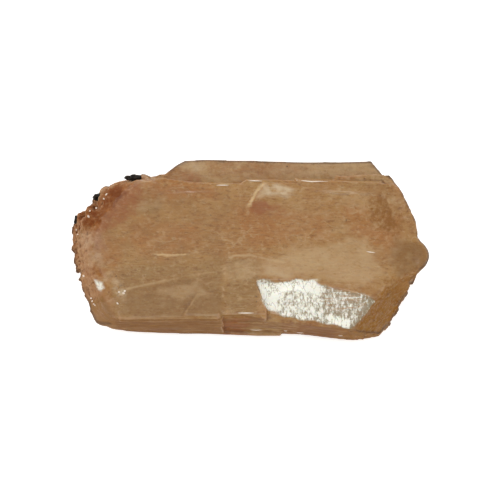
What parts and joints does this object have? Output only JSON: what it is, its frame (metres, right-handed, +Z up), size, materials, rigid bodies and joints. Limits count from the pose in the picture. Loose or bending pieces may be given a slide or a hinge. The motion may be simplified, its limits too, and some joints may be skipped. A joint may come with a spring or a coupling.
{
  "type": "stilbite specimen",
  "caption": "Tabular stilbite crystal, a parallel intergrowth of blades with a broad flat top, a blunt pointed end and a rough end that holds flecks of dark matrix rock.",
  "frame": {"origin": "bottom centre of the specimen's box, on its cleaved rest face", "axes": "+X along the crystal towards its pointed end, +Y away from a viewer who looks down on the broad face, +Z up from the rest face"},
  "size_m": [0.0642, 0.0318, 0.0146],
  "materials": {
    "stilbite_peach": "translucent peach stilbite with a vitreous to pearly lustre",
    "matrix_rock": "dull dark volcanic rock"
  },
  "bodies": {
    "root": {"stilbite_crystal": "stilbite_peach", "matrix_fleck_back": "matrix_rock", "matrix_fleck_shoulder": "matrix_rock", "matrix_fleck_left": "matrix_rock"}
  },
  "joints": []
}
